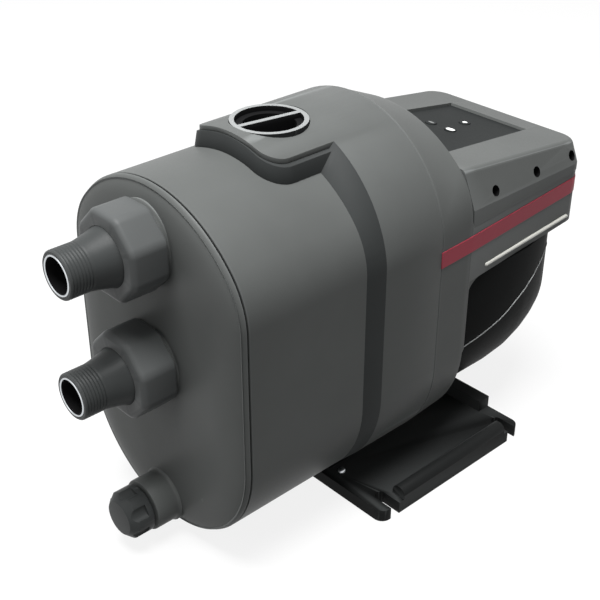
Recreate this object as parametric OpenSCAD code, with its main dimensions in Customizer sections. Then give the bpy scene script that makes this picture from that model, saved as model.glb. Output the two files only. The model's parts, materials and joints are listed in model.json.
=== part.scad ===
// Compact self-priming booster pump set: pump head, motor and control box in one moulded casing.
// +Z is up, the ports face -Y, and the origin lies on the floor midway between the base slots.

/* [Casing] */
// Width of the front casing
casing_w = 182; // [176:1:188]
// Height of the lower arc's centre above the floor
low_z = 100; // [98:1:103]
// Height at which the straight sides end
high_z = 205; // [202:1:208]
// Height of the crown above the straight sides
crown_h = 73; // [70:1:76]
// Radius of the upper corners of the section
corner_r = 58; // [54:1:62]
// Distance from the origin to the front face
front_y = 201; // [198:1:206]
// Depth of the domed front end
dome_h = 8; // [6:1:10]
// Wall of the moulded shells
wall = 5; // [4:0.5:6]

/* [Sleeve] */
// How far the sleeve stands out at the sides
sleeve_side = 3; // [2:0.5:4]
// How far the sleeve stands above the front casing
sleeve_rise = 15; // [13:1:17]
// Distance from the origin to the front of the joint band
band_y = 90; // [88:1:93]
// Width of the joint band along the casing
band_w = 16; // [14:1:18]
// Distance from the origin to the rear edge of the sleeve
seam_y = 18; // [14:1:22]

/* [Filler] */
// Distance from the origin to the filler axis
filler_y = 94; // [92:1:96]
// Distance from the origin to the front of the filler tongue
tongue_y = 128.5; // [126:0.5:131]
// Half width of the filler tongue
tongue_half_w = 41.5; // [40:0.5:43]
// Radius of the filler cap
cap_r = 27; // [25:0.5:28]
// Radius of the filler neck's bore
neck_r = 21; // [19:0.5:22]

/* [Ports] */
// Height of the suction port axis
suction_z = 148; // [145:1:151]
// Height of the discharge port axis
discharge_z = 238; // [235:1:240]
// Outer radius of the pipe thread (one inch)
thread_r = 16.6; // [16:0.1:17]
// Bore radius of the ports
port_bore_r = 12.5; // [11:0.5:13]
// Length of the threaded tip
thread_l = 18; // [16:1:20]
// Distance from the front face to the tip of a port
port_reach = 65; // [63:1:68]
// Radius of the casing spigot that takes a union nut
spigot_r = 26.5; // [26:0.1:27]
// Length of the casing spigot
spigot_l = 18; // [17:1:19]
// Width across the flats of a union nut
nut_flats = 60; // [58:1:62]
// Height of the drain plug axis
drain_z = 30; // [29:1:32]
// Radius of the drain plug head
drain_r = 18; // [16:0.5:19]

/* [Base] */
// Half width of the base plate
base_half_w = 108.5; // [106:0.5:111]
// Distance from the origin to the front edge of the base plate
base_front = 83; // [81:1:86]
// Distance from the origin to the rear edge of the base plate
base_rear = 80; // [78:1:83]
// Thickness of the base plate
base_t = 10; // [9:0.5:11]
// Distance between the slots along the pump
slot_pitch = 138; // [136:1:140]
// Width of a base slot
slot_w = 9; // [8:0.5:10]
// Depth of a base slot from the side edge
slot_depth = 20; // [16:1:22]
// Height of the side rails above the plate
rail_h = 9; // [6:1:11]

/* [Control box] */
// Distance from the origin to the rear end of the box
box_end_y = 164; // [158:1:170]
// Height of the box's underside
box_low_z = 162; // [160:1:165]
// Height of the split between tray and lid
split_z = 206; // [204:1:208]
// Height of the lid's top at its front edge
lid_front_z = 246.5; // [244:0.5:249]
// Height of the lid's top at its rear edge
lid_rear_z = 228; // [226:1:230]
// Half width of the lid's top at its front edge
lid_front_w = 79; // [77:0.5:80]
// Half width of the box at its rear edge
box_rear_w = 81.5; // [80:0.5:83]
// Step in of the lid's top from the box's flank at its rear edge
lid_rear_in = 7; // [5.5:0.5:8.5]
// Wall of the box shells
box_wall = 3; // [2.5:0.5:3.5]
// Radius of a panel button
button_r = 4.5; // [4:0.5:5]

/* [Motor] */
// Height of the shaft axis
shaft_z = 102; // [100:1:104]
// Radius of the shaft in its bearings
shaft_r = 7.5; // [7:0.5:8]
// Step in of the black motor cover from the shroud's flank
cover_in = 3; // [2:0.5:5]
// Distance from the origin to the rear of the motor cover
cover_end_y = 145; // [142:1:148]
// Outer radius of the stator core
stator_r = 50; // [48:1:52]
// Radius of the rotor
rotor_r = 25; // [24:0.5:26]
// Radius of the impeller
impeller_r = 54; // [50:1:56]

/* [Hidden] */
$fn = 72;

// Gap between pieces that must not touch, and the running clearance of shafts in their bores
gap = 0.3;
run_gap = 0.05;
// Section of the front casing and of the sleeve
half_w = casing_w / 2;
sleeve_half_w = half_w + sleeve_side;
casing_top = high_z + crown_h;
sleeve_front = -band_y + band_w;
// Section of the rear shroud's arch where the lid starts
arch_y = 18;
arch_half_w = sleeve_half_w - 2;
cover_r = arch_half_w - cover_in;
arch_high_z = high_z + 3;
arch_crown = 70;
arch_corner_r = 57;
// Filler neck and cap
neck_l = 26;
cap_t = 5;
cap_seat_z = casing_top + sleeve_rise - 8;
o_ring_t = 2.5;
// Ports, from the front face outwards
gasket_t = 2;
flange_t = 4;
flange_r = 25.5;
collar_r = 20.5;
clamp_t = 2;
shoulder_t = 4;
nut_start = 2;
nut_round = 5;
// Drain boss and plug
drain_boss_l = 19;
drain_boss_r = drain_r + 1.5;
drain_head_l = 18;
drain_bore_r = 9;
drain_seat_y = -front_y - drain_boss_l;
// Check valves
socket_r = 20.5;
socket_l = 34;
cage_y = -front_y + wall;
cage_l = 32;
seat_t = 4;
seat_r = 11;
poppet_r = 13;
poppet_t = 3;
stem_r = 3;
guide_t = 5;
spring_r = 6.5;
spring_wire_r = 0.8;
spring_turns = 4;
// Base saddle
saddle_gap = 0.3;
saddle_half_w = 44;
saddle_h = 20;
rear_rib_half_w = 75;
rear_rib_t = 12;
// Box
lid_l = box_end_y - arch_y;
lid_rear_w = box_rear_w - lid_rear_in;
lid_slope = atan((lid_front_z - lid_rear_z) / lid_l);
shoulder_front_z = split_z + 13;
// Fall of the lid's chamfer per unit of width, the same at both ends so that it stays flat
chamfer_fall = (lid_front_z - shoulder_front_z) / (arch_half_w - 1 - lid_front_w);
shoulder_rear_z = lid_rear_z - chamfer_fall * (box_rear_w - lid_rear_w);
stripe_drop = 6;
stripe_h = 13;
stripe_t = 1.5;
stripe_wrap = 20;
panel_front_w = 46;
panel_rear_w = 39;
panel_t = 3;
panel_drop = 2;
board_t = 1.6;
board_drop = 18;
screw_recess_r = 4;
screw_ys = [47, 100, 150];
// Motor along its axis
plate_y = -58;
plate_t = 10;
core_y = -2;
core_l = 64;
frame_t = 4;
frame_y = plate_y + plate_t;
shield_y = 88;
shield_t = 8;
bearing_r = 17.5;
bearing_w = 11;
front_bearing_in = 16;
rear_bearing_in = 6;
bearing_lip = 2;
frame_end_t = 6;
front_bearing_y = frame_y + front_bearing_in;
rear_bearing_y = shield_y - rear_bearing_in;
shaft_front_y = -92;
shaft_rear_y = rear_bearing_y + bearing_w + 4;
impeller_y = -88;
impeller_t = 16;
eye_r = 19;
bolt_ring_r = stator_r + frame_t + 5;

slice_t = 0.5;
base_corner_r = 8;
rail_w = 12;
rail_end = 5;
saddle_front = 76;
saddle_rear = 15;
sleeve_bolt_places = [[-28, -38], [28, -38]];
shroud_bolt_places = [[-28, 0], [28, 0]];
base_bolt_places = concat(sleeve_bolt_places, shroud_bolt_places);
bolt_r = 3;
bolt_head_r = 5.5;
bolt_head_t = 5;
bolt_l = 34;
lap_inset = 4;
lap_t = 4;
lap_l = 4;
socket_t = 3;
drain_inner_y = -front_y + 14;
neck_z = cap_seat_z - neck_l;
filler_tongue_r = 15;
filler_tongue_t = 10;
filler_lip_t = 3;
filler_lip_w = 3;
skirt_low_z = casing_top - 14;
skirt_flare = 5;
cap_gap = 0.4;
cap_plug_l = 14;
cap_pocket = 7;
cap_rib_w = 4;
cap_rim_w = 3.5;
cap_web_t = 1.2;
cap_turn = -10;
drain_nose_l = 5;
drain_plug_l = 14;
dome_reach = 30;
bolt_boss_z = 40;
cover_z = 114;
cover_lip = 9;
// Drop of the motor cover's radius at given distances from its rear end
cover_fall = [[70, 0], [50, 1.5], [33, 5], [20, 9], [10, 13], [4, 19], [0, 29]];
web_r = 15;
web_t = 3;
wire_hole_z = 184;
wire_hole_r = 12;
box_corner_r = 14;
lid_top_t = 8;
screw_inset = 6.5;
screw_post_r = screw_recess_r + 1.5;
screw_floor = 4;
screw_r = 2;
screw_l = 16;
screw_head_r = 4;
screw_head_t = 3.5;
panel_start = 14;
panel_rear_in = 22;
panel_end = lid_l / cos(lid_slope) - panel_rear_in;
button_proud = 0.6;
button_play = 1.2;
plunger_r = 3;
plunger_end = 12;
button_near_y = panel_start + 56;
button_far_y = button_near_y + 26;
button_left_x = -13;
button_right_x = 7;
button_places = [[0, button_far_y], [button_left_x, button_near_y], [button_right_x, button_near_y]];
board_w = 104;
board_l = 96;
board_post_r = 4;
board_post_inset = 6;
switch_w = 6;
capacitor_r = 8;
capacitor_h = 22;
capacitor_x = 30;
transformer_w = 36;
transformer_l = 22;
transformer_h = 15;
board_y = 16;
gland_x = -45;
gland_z = 184;
gland_shank_r = 7.5;
gland_hex_r = 12;
gland_bore_r = 4.5;
gland_hex_l = 6;
gland_cone_l = 12;
vessel_r = 32;
vessel_half_l = 42;
vessel_t = 2;
vessel_y = -146;
vessel_z = 66;
cradle_w = 40;
cradle_l = 24;
sensor_x = 44;
sensor_z = 215;
sensor_stud_r = 5;
suction_plate_y = -102;
diffuser_r = 78;
vane_in = 5;
vane_l = 50;
vane_t = 12;
hub_r = 12;
blade_arc_r = 24;
seal_r = 15;
slot_ring_r = 36;
conductor_r = 4;
winding_l = 14;
frame_bolt_r = 3;

// Moves a flat outline drawn in X and Z so that it runs from y0 to y1
module run_y(y0, y1) {
    translate([0, y1, 0])
        rotate([90, 0, 0])
            linear_extrude(y1 - y0)
                children();
}

// Round bar along Y
module bar_y(r, y0, y1, z) {
    translate([0, y0, z])
        rotate([-90, 0, 0])
            cylinder(r = r, h = y1 - y0);
}

// Round tube along Y
module tube_y(r_out, r_in, y0, y1, z) {
    difference() {
        bar_y(r_out, y0, y1, z);
        bar_y(r_in, y0 - 1, y1 + 1, z);
    }
}

// Casing section: a half round below, straight sides, two corner arcs and a crown tangent to them
module outline(a, zl, zh, ch, rc) {
    c = a - rc;
    up = ch - rc;
    k = (c * c - up * up) / (2 * up);
    crown_r = sqrt(c * c + k * k) + rc;
    lean = atan2(k, c);
    reach = 2 * crown_r;
    lap = min(k, zh - zl) / 2;
    foot = c * (1 - lap / k);
    translate([0, zl])
        circle(a);
    translate([-a, zl])
        square([2 * a, zh - zl]);
    for (side = [-1, 1])
        translate([side * c, zh])
            circle(rc);
    intersection() {
        translate([0, zh - k])
            circle(crown_r);
        polygon([
            [-foot, zh - lap],
            [foot, zh - lap],
            [reach * cos(lean), zh - k + reach * sin(lean)],
            [reach * cos(lean), zh - k + reach],
            [-reach * cos(lean), zh - k + reach],
            [-reach * cos(lean), zh - k + reach * sin(lean)]
        ]);
    }
}

// Section of the front casing, drawn in by inset
module casing_outline(inset) {
    outline(half_w - inset, low_z, high_z, crown_h - inset, corner_r - inset);
}

// Section of the sleeve, drawn in by inset
module sleeve_outline(inset) {
    outline(sleeve_half_w - inset, low_z + sleeve_side, high_z, crown_h + sleeve_rise - inset,
        corner_r + sleeve_side - inset);
}

// Section of the rear shroud where the lid starts, drawn in by inset
module arch_outline(inset) {
    outline(arch_half_w - inset, low_z + sleeve_side, arch_high_z, arch_crown - inset,
        arch_corner_r - inset);
}

// Front casing block with a domed front end
module casing_block(inset, y0, y1) {
    hull() {
        run_y(y0 + dome_h, y1)
            casing_outline(inset);
        for (turn = [0 : 18 : 72])
            run_y(y0 + dome_h * (1 - cos(turn)), y0 + dome_h)
                casing_outline(inset + dome_reach * (1 - sin(turn)));
    }
}

// Loft between two sections given as the first and second child
module loft_y(y0, y1) {
    hull() {
        run_y(y0, y0 + slice_t)
            children(0);
        run_y(y1 - slice_t, y1)
            children(1);
    }
}

// Places children on the lid's sloping top, with local Y down the slope and local Z out of it
module on_lid() {
    translate([0, arch_y, lid_front_z])
        rotate([-lid_slope, 0, 0])
            children();
}

// Puts the origin of a port at the front face, on the port's axis, with local Z pointing out
module at_port(z) {
    translate([0, -front_y, z])
        rotate([90, 0, 0])
            children();
}

// Base
module base_outline() {
    r = base_corner_r;
    translate([r - base_half_w, -base_front])
        square([2 * (base_half_w - r), base_front + base_rear]);
    translate([-base_half_w, r - base_front])
        square([2 * base_half_w, base_front + base_rear - 2 * r]);
    for (x = [r - base_half_w, base_half_w - r], y = [r - base_front, base_rear - r])
        translate([x, y])
            circle(r);
}

// Side rail: a flat-sided ridge with a round top
module rail_section() {
    translate([-rail_w / 2, -1])
        square([rail_w, rail_h - rail_w / 2 + 1]);
    translate([0, rail_h - rail_w / 2])
        circle(rail_w / 2);
}

module base_plate() {
    rail_l = slot_pitch - slot_w - 2 * rail_end;
    color("#1d1e1f")
        difference() {
            union() {
                linear_extrude(base_t)
                    base_outline();
                for (side = [-1, 1])
                    run_y(-rail_l / 2, rail_l / 2)
                        translate([side * (base_half_w - rail_w / 2), base_t])
                            rail_section();
                translate([-saddle_half_w, -saddle_front, 0])
                    cube([2 * saddle_half_w, saddle_front + saddle_rear, saddle_h]);
                translate([-rear_rib_half_w, base_rear - rear_rib_t, 0])
                    cube([2 * rear_rib_half_w, rear_rib_t, saddle_h]);
            }
            run_y(-2 * base_front, base_rear - rear_rib_t - 1)
                translate([0, low_z + sleeve_side])
                    circle(sleeve_half_w + saddle_gap);
            for (x = [-1, 1], y = [-1, 1])
                translate([x * (base_half_w - slot_depth + slot_w / 2), y * slot_pitch / 2, -1]) {
                    cylinder(d = slot_w, h = base_t + 2);
                    translate([x > 0 ? 0 : -slot_depth, -slot_w / 2, 0])
                        cube([slot_depth, slot_w, base_t + 2]);
                }
            for (place = base_bolt_places)
                translate([place[0], place[1], 0]) {
                    translate([0, 0, -1])
                        cylinder(r = bolt_head_r + gap, h = bolt_head_t + 2);
                    cylinder(r = bolt_r + gap, h = 2 * saddle_h);
                }
        }
}

module base_bolts() {
    color("#b9bcbd")
        for (place = base_bolt_places)
            translate([place[0], place[1], 1]) {
                cylinder(r = bolt_head_r, h = bolt_head_t);
                cylinder(r = bolt_r, h = bolt_l);
            }
}

// Casing shells
module front_casing() {
    color("#4a4c4c")
        difference() {
            union() {
                difference() {
                    casing_block(0, -front_y, -band_y);
                    casing_block(wall, wall - front_y, 1 - band_y);
                }
                difference() {
                    run_y(-band_y - lap_l, sleeve_front - gap)
                        casing_outline(lap_inset);
                    run_y(-band_y - lap_l - 1, sleeve_front + 1)
                        casing_outline(lap_inset + lap_t);
                }
                for (z = [suction_z, discharge_z]) {
                    bar_y(spigot_r, -front_y - spigot_l, wall - front_y, z);
                    bar_y(socket_r + socket_t, cage_y - 1, cage_y + socket_l, z);
                }
                bar_y(drain_boss_r, drain_seat_y, drain_inner_y, drain_z);
                intersection() {
                    translate([-cradle_w / 2, vessel_y - cradle_l / 2, 0])
                        cube([cradle_w, cradle_l, vessel_z - vessel_r / 2]);
                    casing_block(1, 1 - front_y, -band_y);
                }
            }
            for (z = [suction_z, discharge_z]) {
                bar_y(port_bore_r, -front_y - spigot_l - 1, cage_y + 1, z);
                bar_y(socket_r, cage_y, cage_y + socket_l + 1, z);
            }
            bar_y(drain_bore_r, drain_seat_y - 1, drain_inner_y + 1, drain_z);
            translate([-vessel_half_l, vessel_y, vessel_z])
                rotate([0, 90, 0])
                    cylinder(r = vessel_r + gap, h = 2 * vessel_half_l);
            translate([0, -filler_y, neck_z - 1])
                cylinder(r = neck_r + wall + 1, h = 2 * neck_l);
        }
}

// Plan of the filler tongue that runs forward from the sleeve, grown by grow
module filler_plan(grow) {
    w = tongue_half_w + grow;
    r = filler_tongue_r + grow;
    front = -tongue_y - grow;
    translate([-w, front + r])
        square([2 * w, sleeve_front + 1 - front - r]);
    translate([r - w, front])
        square([2 * (w - r), 2 * r]);
    for (side = [-1, 1])
        translate([side * (w - r), front + r])
            circle(r);
}

// Layer of the filler tongue between two depths below the sleeve's surface
module filler_layer(from, to, grow) {
    intersection() {
        difference() {
            run_y(-tongue_y - 1, sleeve_front + 1)
                sleeve_outline(from);
            run_y(-tongue_y - 2, sleeve_front + 2)
                sleeve_outline(to);
        }
        translate([0, 0, high_z])
            linear_extrude(high_z)
                filler_plan(grow);
    }
}

// Sloping wall round the filler tongue, down to the front casing
module filler_skirt() {
    intersection() {
        hull() {
            translate([0, 0, casing_top + sleeve_rise])
                linear_extrude(slice_t)
                    filler_plan(0);
            translate([0, 0, skirt_low_z])
                linear_extrude(slice_t)
                    filler_plan(skirt_flare);
        }
        run_y(-2 * tongue_y, sleeve_front)
            sleeve_outline(filler_lip_t + gap);
    }
}

module joint_band() {
    color("#2f3131")
        difference() {
            union() {
                loft_y(-band_y, sleeve_front) {
                    casing_outline(0);
                    sleeve_outline(0);
                }
                filler_skirt();
            }
            run_y(-front_y, gap - band_y)
                casing_outline(-gap);
            run_y(-band_y - 1, sleeve_front + 1)
                casing_outline(lap_inset - gap);
            translate([0, 0, neck_z])
                linear_extrude(neck_z)
                    filler_plan(gap - filler_lip_w);
            filler_layer(-1, filler_lip_t + gap, gap);
        }
}

module mid_sleeve() {
    color("#4a4c4c")
        difference() {
            union() {
                difference() {
                    run_y(sleeve_front, -seam_y)
                        sleeve_outline(0);
                    run_y(sleeve_front - 1, 1 - seam_y)
                        sleeve_outline(wall);
                }
                filler_layer(0, filler_lip_t, 0);
                filler_layer(filler_lip_t / 2, filler_tongue_t, -filler_lip_w);
                translate([0, -filler_y, neck_z])
                    cylinder(r = neck_r + wall, h = neck_l);
                intersection() {
                    bolt_bosses(sleeve_bolt_places);
                    run_y(sleeve_front, -seam_y)
                        sleeve_outline(1);
                }
            }
            translate([0, -filler_y, neck_z - 1])
                cylinder(r = neck_r, h = 2 * neck_l);
            translate([0, -filler_y, cap_seat_z])
                cylinder(r = cap_r + cap_gap, h = neck_l);
            bolt_holes(sleeve_bolt_places);
        }
}

// Bosses that take the base screws, and the holes in them
module bolt_bosses(places) {
    for (place = places)
        translate([place[0], place[1], 0])
            cylinder(r = bolt_r + wall, h = bolt_boss_z);
}

module bolt_holes(places) {
    for (place = places)
        translate([place[0], place[1], 0])
            cylinder(r = bolt_r + run_gap, h = bolt_l + 3);
}

module shroud_loft(inset, y0, y1) {
    loft_y(y0, y1) {
        sleeve_outline(inset);
        arch_outline(inset);
    }
}

module rear_shroud() {
    color("#474949")
        difference() {
            shroud_loft(0, -seam_y, arch_y);
            difference() {
                shroud_loft(wall, -seam_y - slice_t, arch_y - wall);
                bolt_bosses(shroud_bolt_places);
            }
            bolt_holes(shroud_bolt_places);
            run_y(-seam_y, 2 * arch_y)
                cover_section(cover_r - cover_lip);
            translate([0, arch_y - 2 * wall, wire_hole_z])
                rotate([-90, 0, 0])
                    cylinder(r = wire_hole_r, h = 3 * wall);
            stripe_cuts();
        }
}

// Motor cover: round below, straight sided up to the box, drawn in towards its rear end
module cover_section(r) {
    intersection() {
        union() {
            translate([0, cover_z])
                circle(r);
            translate([-r, cover_z])
                square([2 * r, box_low_z - cover_z]);
        }
        translate([-r, 0])
            square([2 * r, box_low_z - gap]);
    }
}

module cover_profile(inset) {
    polygon([
        [0, 0],
        [cover_r - inset, 0],
        for (step = cover_fall)
            [cover_r - inset - step[1], cover_end_y - inset - arch_y - step[0]],
        [0, cover_end_y - inset - arch_y]
    ]);
}

module cover_solid(inset) {
    intersection() {
        translate([0, arch_y, cover_z]) {
            rotate([-90, 0, 0])
                rotate_extrude()
                    cover_profile(inset);
            linear_extrude(box_low_z - cover_z)
                for (side = [0, 1])
                    mirror([side, 0])
                        cover_profile(inset);
        }
        translate([-2 * cover_r, 0, 0])
            cube([4 * cover_r, 2 * cover_end_y, box_low_z - gap]);
    }
}

module motor_cover() {
    color("#161718")
        difference() {
            cover_solid(0);
            translate([0, -0.01, 1])
                cover_solid(box_wall);
        }
}

// Control box
function flank_x(y) = arch_half_w + (box_rear_w - arch_half_w) * (y - arch_y) / lid_l;

module box_plan(inset) {
    r = box_corner_r - inset;
    polygon([
        [-flank_x(arch_y) + inset, arch_y],
        [flank_x(arch_y) - inset, arch_y],
        for (turn = [0 : 15 : 90])
            [box_rear_w - inset - r + r * cos(turn), box_end_y - inset - r + r * sin(turn)],
        for (turn = [90 : 15 : 180])
            [-box_rear_w + inset + r + r * cos(turn), box_end_y - inset - r + r * sin(turn)]
    ]);
}

module box_tray() {
    color("#3d3e3e")
        difference() {
            union() {
                difference() {
                    translate([0, 0, box_low_z])
                        linear_extrude(split_z - box_low_z)
                            box_plan(0);
                    translate([0, -1, box_low_z + box_wall])
                        linear_extrude(split_z)
                            box_plan(box_wall);
                }
                screw_posts(box_low_z, split_z);
                corner_webs();
            }
            lid_screw_shanks(screw_r + gap);
            translate([gland_x, box_end_y - 3 * box_wall, gland_z])
                rotate([-90, 0, 0])
                    cylinder(r = gland_shank_r + gap, h = 4 * box_wall);
            stripe_cuts();
        }
}

// Curved webs between the tray's underside and the shroud's rear edge
module corner_webs() {
    for (side = [-1, 1])
        translate([side > 0 ? cover_r + gap : -cover_r - gap - web_t / 2, arch_y, box_low_z - web_r])
            rotate([90, 0, 90])
                linear_extrude(web_t / 2)
                    difference() {
                        square([web_r, web_r + 1]);
                        translate([web_r, 0])
                            circle(web_r);
                    }
}

module lid_block(inset, top_inset) {
    hull() {
        run_y(arch_y, arch_y + slice_t)
            polygon([
                [-arch_half_w + inset, split_z],
                [arch_half_w - inset, split_z],
                [arch_half_w - inset - 1, shoulder_front_z - inset],
                [lid_front_w - inset, lid_front_z - top_inset],
                [-lid_front_w + inset, lid_front_z - top_inset],
                [-arch_half_w + inset + 1, shoulder_front_z - inset]
            ]);
        run_y(box_end_y - slice_t - inset, box_end_y - inset)
            polygon([
                [-box_rear_w + inset, split_z],
                [box_rear_w - inset, split_z],
                [box_rear_w - inset, shoulder_rear_z - inset],
                [lid_rear_w - inset, lid_rear_z - top_inset],
                [-lid_rear_w + inset, lid_rear_z - top_inset],
                [-box_rear_w + inset, shoulder_rear_z - inset]
            ]);
    }
}

module screw_posts(z0, z1) {
    for (side = [-1, 1], y = screw_ys)
        translate([side * (flank_x(y) - screw_inset), y, z0])
            cylinder(r = screw_post_r, h = z1 - z0);
}

module lid_screw_shanks(r) {
    for (side = [-1, 1], y = screw_ys)
        translate([side * (flank_x(y) - screw_inset), y, split_z - screw_l])
            cylinder(r = r, h = screw_l + screw_floor + 1);
}

module panel_plan(inset) {
    polygon([
        [-panel_front_w + inset, panel_start + inset],
        [panel_front_w - inset, panel_start + inset],
        [panel_rear_w - inset, panel_end - inset],
        [-panel_rear_w + inset, panel_end - inset]
    ]);
}

module at_buttons() {
    for (place = button_places)
        translate([place[0], place[1], 0])
            children();
}

module at_board_posts() {
    inset = board_post_inset;
    for (x = [inset - board_w / 2, board_w / 2 - inset], y = [board_y + inset, board_y + board_l - inset])
        translate([x, y, -board_drop])
            children();
}

module box_lid() {
    color("#5a5c5c")
        difference() {
            intersection() {
                union() {
                    difference() {
                        lid_block(0, 0);
                        intersection() {
                            lid_block(box_wall, lid_top_t);
                            translate([0, 0, split_z - 1])
                                linear_extrude(lid_front_z)
                                    box_plan(box_wall);
                        }
                        translate([0, 0, split_z - 1])
                            linear_extrude(1.01)
                                box_plan(box_wall);
                    }
                    intersection() {
                        screw_posts(split_z, lid_front_z);
                        lid_block(0, 0);
                    }
                    on_lid()
                        at_board_posts()
                            cylinder(r = board_post_r, h = board_drop - lid_top_t + 1);
                }
                translate([0, 0, split_z])
                    linear_extrude(lid_front_z)
                        box_plan(0);
            }
            for (side = [-1, 1], y = screw_ys)
                translate([side * (flank_x(y) - screw_inset), y, split_z + screw_floor])
                    cylinder(r = screw_recess_r, h = lid_front_z);
            lid_screw_shanks(screw_r + gap);
            on_lid() {
                translate([0, 0, -panel_drop - panel_t])
                    linear_extrude(2 * panel_t + panel_drop)
                        panel_plan(0);
                at_buttons() {
                    translate([0, 0, -panel_drop - panel_t - button_play])
                        cylinder(r = button_r + gap, h = 2 * panel_t);
                    translate([0, 0, -2 * lid_top_t])
                        cylinder(r = plunger_r + gap, h = 2 * lid_top_t);
                }
            }
        }
}

// Stripe along one flank and round the rear corner, standing out by proud and sunk by sunk
module stripe(proud, sunk, grow) {
    translate([0, 0, split_z - stripe_drop - stripe_h - grow])
        linear_extrude(stripe_h + 2 * grow) {
            polygon([
                [sleeve_half_w + proud, -seam_y - grow],
                [arch_half_w + proud, arch_y],
                [arch_half_w - sunk, arch_y],
                [sleeve_half_w - sunk, -seam_y - grow]
            ]);
            intersection() {
                difference() {
                    box_plan(-proud);
                    box_plan(sunk);
                }
                translate([box_rear_w - stripe_wrap - grow, arch_y])
                    square(2 * box_end_y);
            }
        }
}

module stripe_cuts() {
    for (side = [0, 1])
        mirror([side, 0, 0])
            stripe(5, stripe_t + 0.2, 0.2);
}

module accent_stripes() {
    color("#8c2c3c")
        for (side = [0, 1])
            mirror([side, 0, 0])
                stripe(0.5, stripe_t, 0);
}

module lid_screws() {
    color("#2a2b2c")
        for (side = [-1, 1], y = screw_ys)
            translate([side * (flank_x(y) - screw_inset), y, split_z + screw_floor]) {
                difference() {
                    cylinder(r = screw_head_r, h = screw_head_t);
                    translate([0, 0, screw_head_t - 2])
                        cylinder(r = 2, h = 3, $fn = 6);
                }
                translate([0, 0, -screw_floor - screw_l + 2])
                    cylinder(r = screw_r, h = screw_floor + screw_l - 1);
            }
}

module control_panel() {
    color("#26282a")
        on_lid()
            difference() {
                translate([0, 0, -panel_drop - panel_t])
                    linear_extrude(panel_t)
                        panel_plan(gap);
                at_buttons()
                    translate([0, 0, -2 * lid_top_t])
                        cylinder(r = button_r + gap, h = 3 * lid_top_t);
            }
}

module panel_button(place) {
    on_lid()
        translate([place[0], place[1], 0]) {
            translate([0, 0, -panel_drop - panel_t + gap])
                cylinder(r = button_r, h = panel_t + button_proud - gap);
            translate([0, 0, -plunger_end])
                cylinder(r = plunger_r, h = plunger_end - panel_drop);
        }
}

module power_button() {
    color("#3a7d4f")
        panel_button(button_places[0]);
}

module pressure_button() {
    color("#c9ccce")
        panel_button(button_places[1]);
}

module reset_button() {
    color("#c9ccce")
        panel_button(button_places[2]);
}

module circuit_board() {
    color("#1f5a3a")
        on_lid()
            translate([-board_w / 2, board_y, -board_drop - board_t])
                cube([board_w, board_l, board_t]);
}

module board_parts() {
    color("#2b2b2e")
        on_lid() {
            at_buttons()
                translate([-switch_w / 2, -switch_w / 2, -board_drop])
                    cube([switch_w, switch_w, board_drop - plunger_end - button_play]);
            translate([0, board_y, -board_drop - board_t]) {
                for (x = [-capacitor_x, capacitor_x])
                    translate([x, board_l - capacitor_h, -capacitor_h])
                        cylinder(r = capacitor_r, h = capacitor_h);
                translate([-transformer_w / 2, board_post_inset, -transformer_h])
                    cube([transformer_w, transformer_l, transformer_h]);
            }
        }
}

module cable_gland() {
    color("#1b1c1d")
        translate([gland_x, box_end_y, gland_z])
            rotate([-90, 0, 0])
                difference() {
                    union() {
                        translate([0, 0, -2 * box_wall])
                            cylinder(r = gland_shank_r, h = 2 * box_wall);
                        cylinder(r = gland_hex_r, h = gland_hex_l, $fn = 6);
                        translate([0, 0, gland_hex_l])
                            cylinder(r1 = gland_hex_r - 2, r2 = gland_hex_r - 4, h = gland_cone_l);
                    }
                    translate([0, 0, -3 * box_wall])
                        cylinder(r = gland_bore_r, h = 4 * box_wall + gland_hex_l + gland_cone_l);
                }
}

// Filler
module filler_o_ring() {
    color("#111111")
        translate([0, -filler_y, cap_seat_z + o_ring_t / 2 + run_gap])
            rotate_extrude()
                translate([(neck_r + cap_r) / 2, 0])
                    circle(o_ring_t / 2);
}

// Half-moon pocket of the filler cap, on one side of its grip rib
module cap_pocket_plan(r) {
    intersection() {
        circle(r);
        translate([cap_rib_w / 2, -cap_r])
            square([cap_r, 2 * cap_r]);
    }
}

module filler_cap() {
    flange_z = cap_seat_z + o_ring_t + 2 * run_gap;
    color("#3b3d3e")
        translate([0, -filler_y, 0])
            difference() {
                union() {
                    translate([0, 0, flange_z])
                        cylinder(r = cap_r, h = cap_t);
                    translate([0, 0, flange_z - cap_plug_l])
                        cylinder(r = neck_r - cap_gap, h = cap_plug_l + 1);
                }
                for (side = [0, 180])
                    rotate([0, 0, cap_turn + side]) {
                        translate([0, 0, flange_z - cap_pocket])
                            linear_extrude(cap_pocket + 2 * cap_t)
                                cap_pocket_plan(neck_r - cap_gap - 2);
                        translate([0, 0, flange_z + cap_web_t])
                            linear_extrude(2 * cap_t)
                                cap_pocket_plan(cap_r - cap_rim_w);
                    }
            }
}

// Drain plug, screwed into the boss low on the front face
module drain_o_ring() {
    color("#111111")
        translate([0, drain_seat_y - o_ring_t / 2 - run_gap, drain_z])
            rotate([90, 0, 0])
                rotate_extrude()
                    translate([drain_bore_r + 3, 0])
                        circle(o_ring_t / 2);
}

module drain_plug() {
    color("#333535")
        translate([0, drain_seat_y - o_ring_t - 2 * run_gap, drain_z])
            rotate([90, 0, 0])
                difference() {
                    union() {
                        cylinder(r = drain_r, h = drain_head_l - drain_nose_l);
                        translate([0, 0, drain_head_l - drain_nose_l])
                            cylinder(r1 = drain_r, r2 = drain_r - drain_nose_l, h = drain_nose_l);
                        translate([0, 0, -drain_plug_l])
                            cylinder(r = drain_bore_r - cap_gap, h = drain_plug_l + 1);
                    }
                    for (turn = [0 : 60 : 300])
                        rotate([0, 0, turn + 30])
                            translate([drain_r + 3, 0, 4])
                                cylinder(r = 6, h = drain_head_l);
                }
}

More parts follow.
